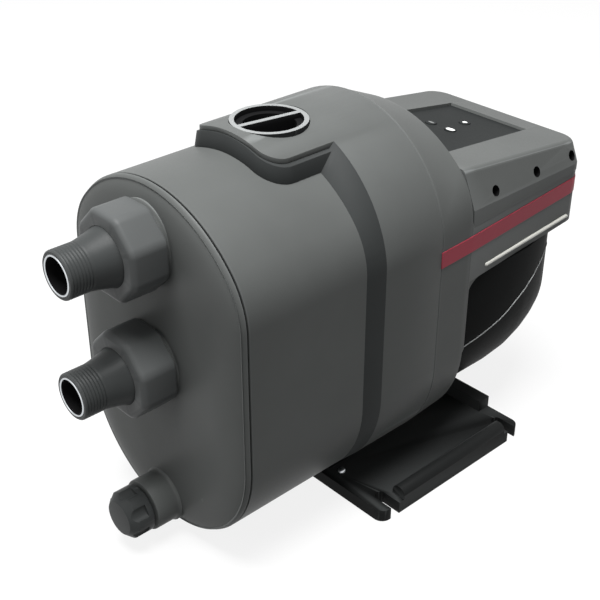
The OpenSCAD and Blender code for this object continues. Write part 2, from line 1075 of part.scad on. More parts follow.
// Port fittings: stub, gasket, clamp ring and union nut
module port_stub(z) {
    flange = spigot_l + gasket_t;
    collar_end = flange + flange_t + clamp_t + shoulder_t;
    at_port(z)
        rotate_extrude()
            polygon([
                [port_bore_r, flange],
                [flange_r, flange],
                [flange_r, flange + flange_t],
                [collar_r, flange + flange_t],
                [collar_r, collar_end],
                [thread_r, port_reach - thread_l],
                [thread_r, port_reach - 1],
                [thread_r - 1, port_reach],
                [port_bore_r, port_reach]
            ]);
}

module port_gasket(z) {
    at_port(z)
        translate([0, 0, spigot_l])
            difference() {
                cylinder(r = flange_r - 1, h = gasket_t);
                translate([0, 0, -1])
                    cylinder(r = port_bore_r, h = gasket_t + 2);
            }
}

module port_clamp_ring(z) {
    at_port(z)
        translate([0, 0, spigot_l + gasket_t + flange_t + run_gap])
            difference() {
                cylinder(r = spigot_r - gap, h = clamp_t - 2 * run_gap);
                translate([0, 0, -1])
                    cylinder(r = collar_r + gap, h = clamp_t + 2);
            }
}

module port_union_nut(z) {
    shoulder = spigot_l + gasket_t + flange_t + clamp_t;
    nut_end = shoulder + shoulder_t;
    at_port(z)
        difference() {
            intersection() {
                translate([0, 0, nut_start])
                    rotate([0, 0, 22.5])
                        cylinder(r = nut_flats / 2 / cos(22.5), h = nut_end - nut_start, $fn = 8);
                rotate_extrude()
                    polygon([
                        [0, nut_start],
                        [nut_flats / 2 + nut_round / 2, nut_start],
                        for (turn = [0 : 22.5 : 90])
                            [nut_flats / 2 - nut_round / 2 + nut_round * cos(turn),
                                nut_end - nut_round + nut_round * sin(turn)],
                        [0, nut_end]
                    ]);
            }
            translate([0, 0, -1])
                cylinder(r = spigot_r + gap, h = shoulder + 1);
            cylinder(r = collar_r + gap, h = 2 * nut_end);
        }
}

module suction_stub() {
    color("#333536")
        port_stub(suction_z);
}

module suction_gasket() {
    color("#111111")
        port_gasket(suction_z);
}

module suction_clamp_ring() {
    color("#7b7d7f")
        port_clamp_ring(suction_z);
}

module suction_union_nut() {
    color("#3c3e3f")
        port_union_nut(suction_z);
}

module discharge_stub() {
    color("#333536")
        port_stub(discharge_z);
}

module discharge_gasket() {
    color("#111111")
        port_gasket(discharge_z);
}

module discharge_clamp_ring() {
    color("#7b7d7f")
        port_clamp_ring(discharge_z);
}

module discharge_union_nut() {
    color("#3c3e3f")
        port_union_nut(discharge_z);
}

// Check valves, drawn with the flow along local +Z from the seat at z = 0
module valve_cage() {
    difference() {
        cylinder(r = socket_r - gap, h = cage_l);
        translate([0, 0, seat_t])
            cylinder(r = socket_r - gap - 3, h = cage_l - seat_t - guide_t);
        translate([0, 0, -1])
            cylinder(r = seat_r, h = seat_t + 2);
        translate([0, 0, -1])
            cylinder(r = stem_r + run_gap, h = cage_l + 2);
        for (turn = [0 : 60 : 300])
            rotate([0, 0, turn])
                translate([10, 0, cage_l - guide_t - 1])
                    cylinder(r = 4, h = guide_t + 2);
    }
}

module valve_poppet() {
    translate([0, 0, seat_t + run_gap])
        cylinder(r = poppet_r, h = poppet_t);
    translate([0, 0, seat_t + 1])
        cylinder(r = stem_r, h = cage_l - seat_t + 2);
}

function spring_point(t, z0, z1) = [
    spring_r * cos(360 * spring_turns * t),
    spring_r * sin(360 * spring_turns * t),
    z0 + (z1 - z0) * t
];

module valve_spring() {
    z0 = seat_t + poppet_t + spring_wire_r + gap;
    z1 = cage_l - guide_t - spring_wire_r - gap;
    rings = spring_turns * 12;
    sides = 6;
    points = [
        for (i = [0 : rings], j = [0 : sides - 1])
            let (
                p = spring_point(i / rings, z0, z1),
                a = 360 * spring_turns * i / rings,
                b = 360 * j / sides
            )
            p + spring_wire_r * [cos(b) * cos(a), cos(b) * sin(a), sin(b)]
    ];
    faces = [
        [for (j = [0 : sides - 1]) j],
        for (i = [0 : rings - 1], j = [0 : sides - 1])
            let (k = (j + 1) % sides)
            [i * sides + j, (i + 1) * sides + j, (i + 1) * sides + k, i * sides + k],
        [for (j = [sides - 1 : -1 : 0]) rings * sides + j]
    ];
    polyhedron(points, faces);
}

module at_suction_valve() {
    translate([0, cage_y + run_gap, suction_z])
        rotate([-90, 0, 0])
            children();
}

module at_discharge_valve() {
    translate([0, cage_y + run_gap + cage_l, discharge_z])
        rotate([90, 0, 0])
            children();
}

module suction_valve_cage() {
    color("#d8d4c8")
        at_suction_valve()
            valve_cage();
}

module suction_valve_poppet() {
    color("#2c6fa8")
        at_suction_valve()
            valve_poppet();
}

module suction_valve_spring() {
    color("#c4c7c9")
        at_suction_valve()
            valve_spring();
}

module discharge_valve_cage() {
    color("#d8d4c8")
        at_discharge_valve()
            valve_cage();
}

module discharge_valve_poppet() {
    color("#2c6fa8")
        at_discharge_valve()
            valve_poppet();
}

module discharge_valve_spring() {
    color("#c4c7c9")
        at_discharge_valve()
            valve_spring();
}

// Pressure vessel on its cradle in the front casing
module vessel_profile(r) {
    square([r, vessel_half_l - r / 2]);
    square([r / 2, vessel_half_l]);
    translate([r / 2, vessel_half_l - r / 2])
        circle(r / 2);
}

module at_vessel() {
    translate([0, vessel_y, vessel_z])
        rotate([0, 90, 0])
            children();
}

module pressure_vessel() {
    color("#8d9092")
        at_vessel()
            difference() {
                for (side = [0, 1])
                    mirror([0, 0, side])
                        rotate_extrude()
                            vessel_profile(vessel_r);
                cylinder(r = vessel_r - vessel_t, h = 2 * vessel_half_l - vessel_r, center = true);
            }
}

module vessel_diaphragm() {
    color("#161616")
        at_vessel()
            cylinder(r = vessel_r - vessel_t - gap, h = 2, center = true);
}

module pressure_sensor() {
    color("#a9acae")
        translate([sensor_x, plate_y + plate_t, sensor_z])
            rotate([-90, 0, 0]) {
                translate([0, 0, -plate_t + 2])
                    cylinder(r = sensor_stud_r, h = plate_t - 1);
                cylinder(r = 9, h = 8, $fn = 6);
                translate([0, 0, 8])
                    cylinder(r = 7.5, h = 14);
            }
}

// Pump hydraulics
module suction_plate() {
    color("#c9c6bd")
        difference() {
            run_y(suction_plate_y, suction_plate_y + wall)
                casing_outline(wall + gap);
            bar_y(eye_r + 1, suction_plate_y - 1, suction_plate_y + wall + 1, shaft_z);
            bar_y(socket_r, suction_plate_y - 1, suction_plate_y + wall + 1, discharge_z - 12);
            translate([0, -filler_y, neck_z - 2])
                cylinder(r = neck_r + wall + gap, h = 2 * neck_l);
        }
}

module diffuser() {
    color("#d8d5cc")
        difference() {
            tube_y(diffuser_r, impeller_r + 2, suction_plate_y + wall, plate_y, shaft_z);
            for (turn = [0 : 45 : 315])
                translate([0, suction_plate_y + wall + vane_in, shaft_z])
                    rotate([0, turn, 0])
                        translate([impeller_r - 2, 0, 4])
                            rotate([0, 35, 0])
                                cube([vane_l, plate_y - suction_plate_y - wall - 2 * vane_in, vane_t]);
        }
}

module impeller() {
    color("#cfd2d4")
        difference() {
            union() {
                tube_y(impeller_r, eye_r, impeller_y, impeller_y + 3, shaft_z);
                bar_y(impeller_r, impeller_y + impeller_t - 3, impeller_y + impeller_t, shaft_z);
                bar_y(hub_r, impeller_y + 4, impeller_y + impeller_t + 4, shaft_z);
                translate([0, impeller_y + impeller_t - 1, shaft_z])
                    rotate([90, 0, 0])
                        linear_extrude(impeller_t - 2)
                            for (turn = [0 : 60 : 300])
                                rotate(turn)
                                    blade_outline();
            }
            bar_y(shaft_r + run_gap, impeller_y - 1, impeller_y + impeller_t + 9, shaft_z);
        }
}

// One backward-curved blade: an arc between the eye and the rim
module blade_outline() {
    intersection() {
        difference() {
            translate([blade_arc_r, 0])
                circle(blade_arc_r + 1.25);
            translate([blade_arc_r, 0])
                circle(blade_arc_r - 1.25);
        }
        difference() {
            circle(impeller_r - 0.5);
            circle(eye_r - 2);
        }
        square([2 * impeller_r, impeller_r]);
    }
}

module seal_plate() {
    color("#b8babb")
        difference() {
            run_y(plate_y, plate_y + plate_t)
                sleeve_outline(wall + gap);
            bar_y(seal_r, plate_y - 1, plate_y + plate_t + 1, shaft_z);
            translate([sensor_x, plate_y - 1, sensor_z])
                rotate([-90, 0, 0])
                    cylinder(r = sensor_stud_r + run_gap, h = plate_t + 2);
            frame_bolt_shanks(frame_bolt_r + run_gap);
            translate([0, -filler_y, neck_z - 2])
                cylinder(r = neck_r + wall + gap, h = 2 * neck_l);
        }
}

module seal_seat() {
    color("#e4e1da")
        tube_y(seal_r - run_gap, shaft_r + 1, plate_y, plate_y + plate_t - 2, shaft_z);
}

module seal_ring() {
    color("#3a3a3c")
        tube_y(seal_r - 2, shaft_r + run_gap, plate_y - 5, plate_y - 2 * run_gap, shaft_z);
}

// Motor
module motor_shaft() {
    color("#c9cccf")
        bar_y(shaft_r, shaft_front_y, shaft_rear_y, shaft_z);
}

module rotor_core() {
    color("#85888b")
        tube_y(rotor_r, shaft_r + run_gap, core_y, core_y + core_l, shaft_z);
}

module ball_bearing(y0) {
    difference() {
        tube_y(bearing_r - run_gap, shaft_r + run_gap, y0, y0 + bearing_w, shaft_z);
        for (y = [y0 - 1, y0 + bearing_w - 1.5])
            tube_y(bearing_r - 3, shaft_r + 3, y, y + 2.5, shaft_z);
    }
}

module front_bearing() {
    color("#b5b8bb")
        ball_bearing(front_bearing_y);
}

module rear_bearing() {
    color("#b5b8bb")
        ball_bearing(rear_bearing_y);
}

module at_slots() {
    for (turn = [0 : 30 : 330])
        translate([0, core_y, shaft_z])
            rotate([-90, 0, 0])
                rotate([0, 0, turn])
                    translate([slot_ring_r, 0, 0])
                        children();
}

module stator_core() {
    color("#77797b")
        difference() {
            tube_y(stator_r - run_gap, rotor_r + 0.5, core_y, core_y + core_l, shaft_z);
            at_slots()
                translate([0, 0, -1])
                    cylinder(r = conductor_r + gap, h = core_l + 2);
        }
}

module windings() {
    color("#b56a35")
        union() {
            for (y = [core_y - winding_l, core_y + core_l + gap])
                tube_y(slot_ring_r + 9, rotor_r + 4, y, y + winding_l - gap, shaft_z);
            at_slots()
                translate([0, 0, -1])
                    cylinder(r = conductor_r, h = core_l + 2);
        }
}

module motor_frame() {
    color("#9b9ea0")
        difference() {
            union() {
                tube_y(stator_r + frame_t, stator_r, frame_y, shield_y, shaft_z);
                bar_y(stator_r + frame_t, frame_y, frame_y + frame_end_t, shaft_z);
                bar_y(bearing_r + frame_t, frame_y, front_bearing_y + bearing_w, shaft_z);
            }
            bar_y(bearing_r, front_bearing_y, front_bearing_y + bearing_w + 1, shaft_z);
            bar_y(shaft_r + 4, frame_y - 1, front_bearing_y + 1, shaft_z);
        }
}

module end_shield() {
    color("#9b9ea0")
        difference() {
            union() {
                bar_y(stator_r + frame_t, shield_y, shield_y + shield_t, shaft_z);
                bar_y(bearing_r + frame_t, rear_bearing_y - bearing_lip, shield_y + shield_t, shaft_z);
                frame_bolt_ears(shield_y, shield_y + shield_t);
            }
            bar_y(bearing_r, rear_bearing_y - 3, rear_bearing_y + bearing_w, shaft_z);
            bar_y(shaft_r + 1, shield_y, shield_y + 2 * shield_t, shaft_z);
            frame_bolt_shanks(frame_bolt_r + gap);
        }
}

module at_frame_bolts() {
    for (turn = [45 : 90 : 315])
        translate([bolt_ring_r * cos(turn), 0, shaft_z + bolt_ring_r * sin(turn)])
            rotate([-90, 0, 0])
                children();
}

module frame_bolt_ears(y0, y1) {
    at_frame_bolts()
        translate([0, 0, y0])
            cylinder(r = frame_bolt_r + 4, h = y1 - y0);
}

module frame_bolt_shanks(r) {
    at_frame_bolts()
        translate([0, 0, plate_y + 2])
            cylinder(r = r, h = shield_y + shield_t - plate_y);
}

module frame_bolts() {
    color("#c2c5c7") {
        frame_bolt_shanks(frame_bolt_r);
        at_frame_bolts()
            translate([0, 0, shield_y + shield_t])
                cylinder(r = frame_bolt_r * 1.9, h = 4, $fn = 6);
    }
}

base_plate();
base_bolts();
front_casing();
joint_band();
mid_sleeve();
rear_shroud();
motor_cover();
box_tray();
box_lid();
accent_stripes();
lid_screws();
control_panel();
power_button();
pressure_button();
reset_button();
circuit_board();
board_parts();
cable_gland();
filler_o_ring();
filler_cap();
drain_o_ring();
drain_plug();
suction_stub();
suction_gasket();
suction_clamp_ring();
suction_union_nut();
discharge_stub();
discharge_gasket();
discharge_clamp_ring();
discharge_union_nut();
suction_valve_cage();
suction_valve_poppet();
suction_valve_spring();
discharge_valve_cage();
discharge_valve_poppet();
discharge_valve_spring();
pressure_vessel();
vessel_diaphragm();
pressure_sensor();
suction_plate();
diffuser();
impeller();
seal_plate();
seal_seat();
seal_ring();
motor_shaft();
rotor_core();
front_bearing();
rear_bearing();
stator_core();
windings();
motor_frame();
end_shield();
frame_bolts();
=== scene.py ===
import json
from math import atan, atan2, copysign, cos, hypot, pi, radians, sin, sqrt

import bmesh
import bpy
from mathutils import Matrix, Vector


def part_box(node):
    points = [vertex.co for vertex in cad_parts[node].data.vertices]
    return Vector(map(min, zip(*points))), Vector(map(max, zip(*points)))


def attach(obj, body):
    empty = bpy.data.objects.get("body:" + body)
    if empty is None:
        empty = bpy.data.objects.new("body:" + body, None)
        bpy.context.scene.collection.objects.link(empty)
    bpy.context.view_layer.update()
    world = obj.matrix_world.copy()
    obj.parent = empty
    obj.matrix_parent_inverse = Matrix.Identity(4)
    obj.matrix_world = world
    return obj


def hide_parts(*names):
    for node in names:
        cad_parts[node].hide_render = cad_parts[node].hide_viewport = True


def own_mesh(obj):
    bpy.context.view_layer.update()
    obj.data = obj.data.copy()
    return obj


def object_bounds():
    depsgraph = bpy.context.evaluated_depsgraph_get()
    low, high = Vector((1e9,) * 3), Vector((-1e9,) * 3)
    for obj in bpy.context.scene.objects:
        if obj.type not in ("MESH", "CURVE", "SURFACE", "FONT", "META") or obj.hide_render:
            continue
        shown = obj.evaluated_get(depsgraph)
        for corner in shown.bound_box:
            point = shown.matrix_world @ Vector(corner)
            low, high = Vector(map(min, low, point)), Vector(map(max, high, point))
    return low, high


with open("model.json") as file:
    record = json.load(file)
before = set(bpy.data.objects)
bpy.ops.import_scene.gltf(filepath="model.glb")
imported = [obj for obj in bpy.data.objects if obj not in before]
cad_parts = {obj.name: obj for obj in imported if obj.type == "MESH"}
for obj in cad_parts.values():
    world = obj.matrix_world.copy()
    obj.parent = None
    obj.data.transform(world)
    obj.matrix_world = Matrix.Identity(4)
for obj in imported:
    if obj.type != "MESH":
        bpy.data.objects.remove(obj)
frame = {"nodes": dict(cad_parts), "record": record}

scene = bpy.context.scene
cad_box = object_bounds()

# Base plate: one glass-filled nylon moulding with open slots, two side rails and a saddle.
# The casings are bolted down on the saddle from below, and the slots take the anchor bolts.
# Points closer than weld are one, and on a crisp piece faces over large_face, in m2, stay flat.
weld = 0.00001
large_face = 0.0004


def linear(hex_colour):
    """An sRGB hex colour as linear RGBA."""
    channels = [int(hex_colour[i:i + 2], 16) / 255 for i in (1, 3, 5)]
    return tuple(c / 12.92 if c <= 0.04045 else ((c + 0.055) / 1.055) ** 2.4 for c in channels) + (1.0,)


def add_node(tree, kind, settings=None, links=None):
    """Adds a node, sets its properties or sockets by name, and links (node, output) pairs to its sockets."""
    node = tree.nodes.new(kind)
    for name, value in (settings or {}).items():
        if hasattr(node, name):
            setattr(node, name, value)
        else:
            node.inputs[name].default_value = value
    for name, (source, output) in (links or {}).items():
        tree.links.new(source.outputs[output], node.inputs[name])
    return node


def grained(name, colour, roughness, grain_mm, relief_mm, wear_highlight_colour="#8a8d8d", wear_and_highlight=0.3, shine=0.1, metal=0.0):
    """A surface with fine grain as bump, slow drift of tone, uneven gloss, and paler edges that are partly
    wear and partly painted highlight.

    Real grain is finer than the render shows, so grain_mm is as coarse as it needs to be to show.
    """
    drift_mm, drift_shade, gloss_spread = 70, 0.88, 0.08
    material = bpy.data.materials.new(name)
    material.use_nodes = True
    tree = material.node_tree
    shader = tree.nodes["Principled BSDF"]
    shader.inputs["Specular IOR Level"].default_value = shine
    shader.inputs["Metallic"].default_value = metal
    place = add_node(tree, "ShaderNodeTexCoord")
    grain = add_node(tree, "ShaderNodeTexNoise", {"Scale": 1000 / grain_mm, "Detail": 3.0},
                     {"Vector": (place, "Object")})
    drift = add_node(tree, "ShaderNodeTexNoise", {"Scale": 1000 / drift_mm, "Detail": 4.0},
                     {"Vector": (place, "Object")})
    tone = add_node(tree, "ShaderNodeValToRGB", None, {"Fac": (drift, "Fac")})
    full = linear(colour)
    tone.color_ramp.elements[0].position = 0.3
    tone.color_ramp.elements[0].color = tuple(c * drift_shade for c in full[:3]) + (1.0,)
    tone.color_ramp.elements[1].position = 0.7
    tone.color_ramp.elements[1].color = full
    form = add_node(tree, "ShaderNodeNewGeometry")
    # Pointiness lightens the edges: partly wear, partly painted highlight.
    edge = add_node(tree, "ShaderNodeMapRange", {"From Min": 0.53, "From Max": 0.62, "To Max": wear_and_highlight},
                    {"Value": (form, "Pointiness")})
    worn_and_highlit = add_node(tree, "ShaderNodeMixRGB", {"Color2": linear(wear_highlight_colour)},
                    {"Fac": (edge, "Result"), "Color1": (tone, "Color")})
    gloss = add_node(tree, "ShaderNodeMapRange",
                     {"To Min": roughness - gloss_spread, "To Max": roughness + gloss_spread},
                     {"Value": (grain, "Fac")})
    bump = add_node(tree, "ShaderNodeBump", {"Strength": 0.5, "Distance": relief_mm / 1000},
                    {"Height": (grain, "Fac")})
    tree.links.new(worn_and_highlit.outputs["Color"], shader.inputs["Base Color"])
    tree.links.new(gloss.outputs["Result"], shader.inputs["Roughness"])
    tree.links.new(bump.outputs["Normal"], shader.inputs["Normal"])
    return material


def cad_copy(node):
    """The CAD node's mesh as a bmesh, with its loose triangles merged and flat areas dissolved."""
    bm = bmesh.new()
    bm.from_mesh(frame["nodes"][node].data)
    bmesh.ops.remove_doubles(bm, verts=bm.verts, dist=weld)
    bmesh.ops.dissolve_limit(bm, angle_limit=radians(0.5), verts=bm.verts, edges=bm.edges)
    return bm


def sharp_edges(bm, angle):
    """Every edge whose faces turn by more than the angle."""
    return [e for e in bm.edges if len(e.link_faces) == 2 and e.calc_face_angle(0) > radians(angle)]


def soften(bm, edges, width, segments=2):
    """Rounds the edges given."""
    bmesh.ops.bevel(bm, geom=edges, offset=width, offset_type="OFFSET", affect="EDGES", segments=segments,
                    profile=0.5, material=-1, clamp_overlap=True)


def make_piece(bm, name, body, materials, replaced=(), angle=32, crisp=False):
    """Turns a bmesh into a smooth-shaded piece on a body; a crisp one keeps its large faces flat."""
    for edge in bm.edges:
        flat = crisp and any(f.calc_area() > large_face for f in edge.link_faces)
        edge.smooth = len(edge.link_faces) == 2 and edge.calc_face_angle(0) < radians(angle) and not flat
    for face in bm.faces:
        face.smooth = True
    mesh = bpy.data.meshes.new(name)
    bm.to_mesh(mesh)
    bm.free()
    for material in materials:
        mesh.materials.append(material)
    piece = bpy.data.objects.new(name, mesh)
    scene.collection.objects.link(piece)
    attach(piece, body)
    if replaced:
        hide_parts(*replaced)
    return piece


def rounded_copy(node, name, body, material, edge_angle, edge_r, segments=2, angle=32, crisp=False):
    """A piece that stands for a CAD node: its copy, with every sharp edge rounded."""
    bm = cad_copy(node)
    soften(bm, sharp_edges(bm, edge_angle), edge_r, segments)
    return make_piece(bm, name, body, (material,), [node], angle, crisp)


# Spark-eroded black nylon: nearly matt, with grey edges that are partly rubbed and partly painted highlight.
black_nylon = grained("glass_filled_nylon_black", "#131414", 0.55, 1.4, 0.10, "#4c4e4e", 0.5, 0.06)
rounded_copy("base_plate", "base_plate_moulding", "casing", black_nylon,
             edge_angle=50, edge_r=0.0009, crisp=True)

# Foot screws: two zinc-plated pan heads that pin the front edge of the plate to its saddle.
# Zinc plating is bright with a faint blue cast and fine turning marks.


def polyline(bm, places):
    """Draws a line through the places, and returns its vertices and edges."""
    point = bmesh.ops.create_vert(bm, co=places[0])["vert"]
    verts, edges = list(point), []
    for first, second in zip(places, places[1:]):
        drawn = bmesh.ops.extrude_vert_indiv(bm, verts=point)
        point = drawn["verts"]
        bmesh.ops.translate(bm, verts=point, vec=second - first)
        verts += point
        edges += drawn["edges"]
    return verts, edges


def turned(bm, profile, centre, axis, steps=56):
    """Spins a profile of (radius, height) pairs, in mm, about an axis through centre."""
    along = Vector(axis).normalized()
    across = along.orthogonal().normalized()
    known = set(bm.verts)
    verts, edges = polyline(bm, [Vector(centre) + across * r / 1000 + along * h / 1000 for r, h in profile])
    bmesh.ops.spin(bm, geom=verts + edges, cent=centre, axis=along, angle=2 * pi, steps=steps, use_merge=True)
    fresh = [v for v in bm.verts if v not in known]
    bmesh.ops.remove_doubles(bm, verts=fresh, dist=weld)
    fresh = {v for v in bm.verts if v not in known}
    bmesh.ops.recalc_face_normals(bm, faces=[f for f in bm.faces if f.verts[0] in fresh])


zinc = grained("zinc_plated_steel", "#c4c8cb", 0.32, 0.8, 0.01, "#e0e2e4", metal=1.0)
screw_x, screw_y, plate_top = 0.0525, -0.0704, 0.010
pan_head = [(0, 2.4), (1.6, 2.2), (2.7, 1.5), (3.2, 0.5), (3.2, -1), (0, -1)]
foot_screws = bmesh.new()
for side in (-1, 1):
    turned(foot_screws, pan_head, (side * screw_x, screw_y, plate_top), (0, 0, 1), 24)
make_piece(foot_screws, "foot_screw_heads", "casing", (zinc,))

# Front casing: the moulded tank that carries the ports, a satin grey composite shell.
# Its domed end meets the side wall at a parting line, and its rear edge slips under the band.
# A hair is the play allowed when faces and edges are told apart by their place.
half_w, low_z, high_z, casing_top, corner_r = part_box("front_casing")[1].x, 0.100, 0.205, 0.278, 0.058
casing_shape = (half_w, low_z, high_z, casing_top - high_z, corner_r)
front_y, band_front, casing_wall = -0.201, -0.090, 0.004
dome_depth, dome_reach, dome_steps = 0.008, 0.030, 12
groove_w, groove_depth, groove_edge = 0.0014, 0.0016, 0.0004
groove_rear = dome_depth + groove_w
port_heights = {"suction": 0.148, "discharge": 0.238}
port_hole_r, hole_rim_share = 0.0085, 0.95
belly_steps, corner_steps, crown_steps = 28, 14, 20
hair = 0.0001


def section(bm, y, shape, inset=0.0):
    """Draws the casing's closed section at y by spinning its arcs, and returns its edges."""
    half_w, low, high, crown, corner = shape
    half_w, crown, corner = half_w - inset, crown - inset, corner - inset
    middle, rise = half_w - corner, crown - corner
    drop = (middle ** 2 - rise ** 2) / (2 * rise)
    lean = atan2(drop, middle)
    known = set(bm.edges)
    point = bmesh.ops.create_vert(bm, co=(0, y, low - half_w))["vert"]
    flank = None
    arcs = (((0, y, low), pi / 2, belly_steps), flank, ((middle, y, high), lean, corner_steps),
            ((0, y, high - drop), pi / 2 - lean, crown_steps))
    for arc in arcs:
        if arc is flank:
            point = bmesh.ops.extrude_vert_indiv(bm, verts=point)["verts"]
            bmesh.ops.translate(bm, verts=point, vec=(0, 0, high - low))
            continue
        spun = bmesh.ops.spin(bm, geom=point, cent=arc[0], axis=(0, -1, 0), angle=arc[1], steps=arc[2])
        point = [v for v in spun["geom_last"] if isinstance(v, bmesh.types.BMVert)]
    half = [e for e in bm.edges if e not in known]
    verts = list({v for e in half for v in e.verts})
    bmesh.ops.mirror(bm, geom=half + verts, merge_dist=2 * weld, axis="X")
    return [e for e in bm.edges if e not in known]


def loft(bm, loops):
    """Bridges each section to the next, with the faces turned outwards."""
    for first, second in zip(loops, loops[1:]):
        bmesh.ops.bridge_loops(bm, edges=first + second)
    bmesh.ops.recalc_face_normals(bm, faces=bm.faces)


def close_shell(piece, thickness):
    """Gives an open shell its wall, towards the inside."""
    wall = piece.modifiers.new("wall", "SOLIDIFY")
    wall.thickness = thickness
    wall.offset = -1.0


def port_frame(z):
    """The frame of a port at height z, whose own Z points out of the front face."""
    return Matrix.Translation((0, front_y, z)) @ Matrix.Rotation(pi / 2, 4, "X")


# Satin composite: a fine even grain that spreads the light, paler at its edges, partly where they are rubbed
# and partly as painted highlight.
# The flat front face has no edge of its own, so it takes the same composite without the paler edges.
# Grooves, bores and recesses that light hardly reaches are painted a dead black, as painted shade.
casing_grey = grained("satin_moulded_composite_grey", "#535554", 0.45, 1.2, 0.05, "#8c8f8f", 0.3)
casing_flat = grained("satin_moulded_composite_unworn", "#535554", 0.45, 1.2, 0.05, wear_and_highlight=0)
shadow_black = grained("unlit_moulding_black", "#0b0b0c", 0.7, 1.2, 0.03, "#1a1a1a", 0.1, 0.1)

# Rings crowd together beside each edge, so that the paler edge, partly wear and partly painted highlight,
# stays at the edge and the shading is even.
shell = bmesh.new()
rings = [section(shell, band_front + reach, casing_shape) for reach in (0.002, 0.001, 0)]
for y, inset in ((groove_rear + 0.0034, 0), (groove_rear + 0.0019, 0), (groove_rear + groove_edge, 0),
                 (groove_rear, groove_edge), (groove_rear, groove_depth), (dome_depth, groove_depth),
                 (dome_depth, groove_edge), (dome_depth - 0.0003, 0)):
    rings.append(section(shell, front_y + y, casing_shape, inset))
for step in range(1, dome_steps):
    turn = step * pi / 2 / dome_steps
    inset = dome_reach * (1 - cos(turn))
    rings.append(section(shell, front_y + dome_depth * (1 - sin(turn)), casing_shape, inset))
rings += [section(shell, front_y, casing_shape, dome_reach + more) for more in (0, 0.0003, 0.0006)]
loft(shell, rings)
port_holes = {}
for z in port_heights.values():
    hole = bmesh.ops.create_circle(shell, segments=40, radius=port_hole_r, matrix=port_frame(z))
    port_holes[z] = list({e for v in hole["verts"] for e in v.link_edges})
bmesh.ops.triangle_fill(shell, edges=rings[-1] + sum(port_holes.values(), []), use_beauty=True)
for z, edges in port_holes.items():
    for step in range(2):
        drawn = bmesh.ops.extrude_edge_only(shell, edges=edges)["geom"]
        edges = [e for e in drawn if isinstance(e, bmesh.types.BMEdge) and len(e.link_faces) == 1]
        bmesh.ops.scale(shell, vec=(hole_rim_share, 1, hole_rim_share),
                        space=Matrix.Translation((0, -front_y, -z)),
                        verts=[v for v in drawn if isinstance(v, bmesh.types.BMVert)])
bmesh.ops.recalc_face_normals(shell, faces=shell.faces)
# The parting groove's faces take the dead black, a painted shade; the flat front face takes the composite
# without paler edges.
for face in shell.faces:
    middle = face.calc_center_median().y - front_y - dome_depth
    if 0 <= middle <= groove_w and abs(face.normal.y) > 0.9 or abs(middle - groove_w / 2) < 2 * hair:
        face.material_index = 1
    elif middle < hair - dome_depth:
        face.material_index = 2
front = make_piece(shell, "front_casing_shell", "casing",
                   (casing_grey, shadow_black, casing_flat), ["front_casing"])
close_shell(front, casing_wall)

# Spigots and drain boss: moulded in one with the front casing, standing off its face.
# Each root has a small fillet, and the spigots carry the coarse thread of the union nuts.


def thread_rings(crest, root, start, pitch, turns):
    """The profile of a thread drawn as rings, in mm."""
    return [(r, start + pitch * turn + h) for turn in range(turns)
            for r, h in ((crest, 0.3), (root, 1.1), (crest, 1.9))]


outwards = (0, -1, 0)
drain_z = 0.030
spigot = ([(12.5, -4), (29.3, -4), (29.3, -0.5), (27.6, 0.5), (26.7, 1.6), (26.4, 3)]
          + thread_rings(crest=26.4, root=25.7, start=3.4, pitch=2.3, turns=6)
          + [(25.6, 18), (12.5, 18), (12.5, -4)])
drain_boss = [(9, -9), (21, -9), (21, 0), (20.2, 0.5), (19.6, 1.4), (19.5, 3), (19.5, 18), (19.1, 18.8),
              (18, 19), (9, 19), (9, -9)]
bosses = bmesh.new()
for z in port_heights.values():
    turned(bosses, spigot, (0, front_y, z), outwards)
turned(bosses, drain_boss, (0, front_y, drain_z), outwards)
make_piece(bosses, "front_casing_bosses", "casing", (casing_grey,))

# Joint band: a ring in a darker grey, partly its own tone and partly painted shade, that clamps the sleeve
# over the rim of the tank.
# It runs on round the foot of the filler tongue as a leaning wall.
# Its composite is a little more matt than the casing's, and its edges are not made paler.
band_grey = grained("satin_composite_dark_and_painted_shade", "#343636", 0.55, 1.2, 0.05, wear_and_highlight=0, shine=0.08)
rounded_copy("joint_band", "joint_band_ring", "casing", band_grey,
             edge_angle=50, edge_r=0.0006, angle=40)

# Sleeve: the raised collar behind the band, whose crown runs forward as the filler tongue.
# It is moulded in the casing's composite, and its edges are broken by a small radius.
rounded_copy("mid_sleeve", "sleeve_collar", "casing", casing_grey,
             edge_angle=45, edge_r=0.0007, angle=35)

# Rear shroud: the shell behind the sleeve that falls to the lid and covers the motor's front end.
# It is moulded in the same composite and ends in a flat wall behind a rounded rim.
# On the flanks the rim is square, so that the control box runs on flush from it.
seam_y, arch_y, seam_gap, shroud_wall = -0.018, 0.018, 0.0002, 0.003
sleeve_shape = (half_w + 0.003, low_z + 0.003, high_z, casing_top + 0.015 - high_z, corner_r + 0.003)
arch_shape = (half_w + 0.001, low_z + 0.003, high_z + 0.003, 0.070, 0.057)
rim_r, rear_wall_w = 0.0023, 0.036
rim_rows = ((0.0022, 0.0001), (0.0012, 0.0005), (0.0004, 0.0012), (0, rim_r), (0, rear_wall_w))


def between(first, second, share):
    """A section partway between two others."""
    return tuple(a + (b - a) * share for a, b in zip(first, second))


